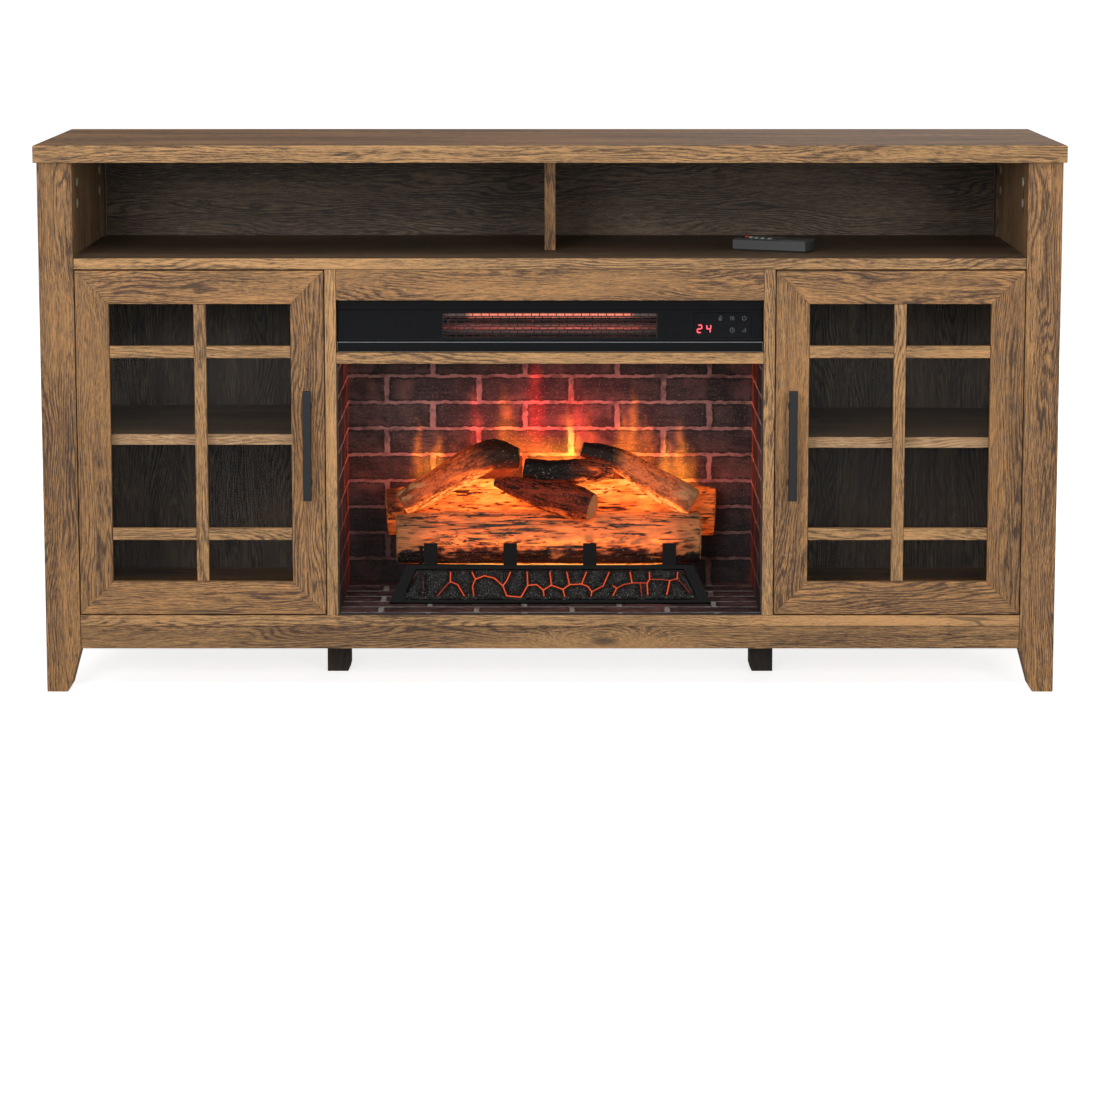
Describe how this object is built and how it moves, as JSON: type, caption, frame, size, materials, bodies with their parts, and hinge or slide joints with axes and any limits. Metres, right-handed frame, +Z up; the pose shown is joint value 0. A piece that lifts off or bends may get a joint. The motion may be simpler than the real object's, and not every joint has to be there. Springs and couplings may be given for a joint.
{
  "type": "fireplace tv stand",
  "caption": "Wood-grain television stand with an open media shelf, glass lattice doors and an electric log fireplace with a heater and remote control.",
  "frame": {"origin": "on the floor, under the middle of the whole object with its door handles", "axes": "+X to the viewer's right along the width, the doors face -Y, +Z up"},
  "size_m": [1.48, 0.419, 0.8],
  "materials": {
    "oak": "rustic oak-look laminate, grain along each member",
    "dark_oak": "dark stained wood",
    "black_metal": "satin black powder coat",
    "steel": "nickel-plated pressed steel",
    "black_plastic": "glossy black moulding",
    "cast_iron": "matt black heat-resistant paint",
    "brick_print": "brick pattern printed on thin sheet",
    "lit_bark": "painted resin bark, lit from behind",
    "tan_bark": "painted resin bark",
    "char": "charred resin",
    "ember": "translucent resin, lit from inside",
    "quartz": "glowing quartz tube",
    "board": "lamp circuit board",
    "pane": "clear pane, dark room behind",
    "remote_shell": "fine-textured charcoal plastic",
    "grey_rubber": "grey moulded key",
    "red_rubber": "red moulded key"
  },
  "bodies": {
    "stand": {"top_panel": "oak", "front_left_leg": "oak", "back_left_leg": "oak", "front_right_leg": "oak", "back_right_leg": "oak", "left_side_panel": "oak", "right_side_panel": "oak", "media_shelf": "oak", "bottom_panel": "oak", "media_divider": "oak", "bottom_front_rail": "oak", "left_upright": "oak", "right_upright": "oak", "left_cabinet_shelf": "oak", "right_cabinet_shelf": "oak", "upper_back_panel": "oak", "lower_back_panel": "oak", "header_rail": "oak", "heater_shelf": "oak", "left_centre_foot": "dark_oak", "right_centre_foot": "dark_oak", "left_lower_hinge_arm": "steel", "left_upper_hinge_arm": "steel", "right_lower_hinge_arm": "steel", "right_upper_hinge_arm": "steel", "heater_fascia": "black_plastic", "heater_grille": "black_metal", "display_window": "black_plastic", "heater_case": "steel", "quartz_tube": "quartz", "firebox_liner": "brick_print", "log_grate": "cast_iron", "ember_bed": "char", "front_log": "lit_bark", "rear_log": "ember", "left_log": "tan_bark", "right_log": "tan_bark", "cross_log": "char", "centre_log": "char", "led_strip": "board"},
    "left_door": {"left_door_frame": "oak", "left_door_muntins": "oak", "left_door_glass": "pane", "left_door_handle": "black_metal", "left_door_lower_hinge_cup": "steel", "left_door_upper_hinge_cup": "steel"},
    "right_door": {"right_door_frame": "oak", "right_door_muntins": "oak", "right_door_glass": "pane", "right_door_handle": "black_metal", "right_door_lower_hinge_cup": "steel", "right_door_upper_hinge_cup": "steel"},
    "blower": {"blower_wheel": "black_plastic"},
    "flame": {"flame_rotor": "steel"},
    "remote": {"remote_case": "remote_shell"},
    "power_key": {"remote_power_key": "red_rubber"},
    "flame_key": {"remote_flame_key": "grey_rubber"},
    "heat_key": {"remote_heat_key": "grey_rubber"},
    "timer_key": {"remote_timer_key": "grey_rubber"},
    "level_key": {"remote_level_key": "grey_rubber"}
  },
  "joints": [
    {"name": "left_door_hinge", "type": "hinge", "parent": "stand", "child": "left_door", "pos_m": [-0.6845, -0.1805, 0.3675], "axis": [0, 0, -1], "range_deg": [0, 105]},
    {"name": "right_door_hinge", "type": "hinge", "parent": "stand", "child": "right_door", "pos_m": [0.6845, -0.1805, 0.3675], "axis": [0, 0, 1], "range_deg": [0, 105]},
    {"name": "blower_spin", "type": "hinge", "parent": "stand", "child": "blower", "pos_m": [0, -0.0605, 0.538], "axis": [1, 0, 0], "continuous": true},
    {"name": "flame_rotor_spin", "type": "hinge", "parent": "stand", "child": "flame", "pos_m": [0, 0.0175, 0.1493], "axis": [1, 0, 0], "continuous": true},
    {"name": "remote_lift_out", "type": "slide", "parent": "stand", "child": "remote", "axis": [0, -1, 0], "range_m": [0, 0.4]},
    {"name": "power_key_press", "type": "slide", "parent": "remote", "child": "power_key", "axis": [0, 0, -1], "range_m": [0, 0.001], "stiffness_N_per_m": 300},
    {"name": "flame_key_press", "type": "slide", "parent": "remote", "child": "flame_key", "axis": [0, 0, -1], "range_m": [0, 0.001], "stiffness_N_per_m": 300},
    {"name": "heat_key_press", "type": "slide", "parent": "remote", "child": "heat_key", "axis": [0, 0, -1], "range_m": [0, 0.001], "stiffness_N_per_m": 300},
    {"name": "timer_key_press", "type": "slide", "parent": "remote", "child": "timer_key", "axis": [0, 0, -1], "range_m": [0, 0.001], "stiffness_N_per_m": 300},
    {"name": "level_key_press", "type": "slide", "parent": "remote", "child": "level_key", "axis": [0, 0, -1], "range_m": [0, 0.001], "stiffness_N_per_m": 300}
  ]
}
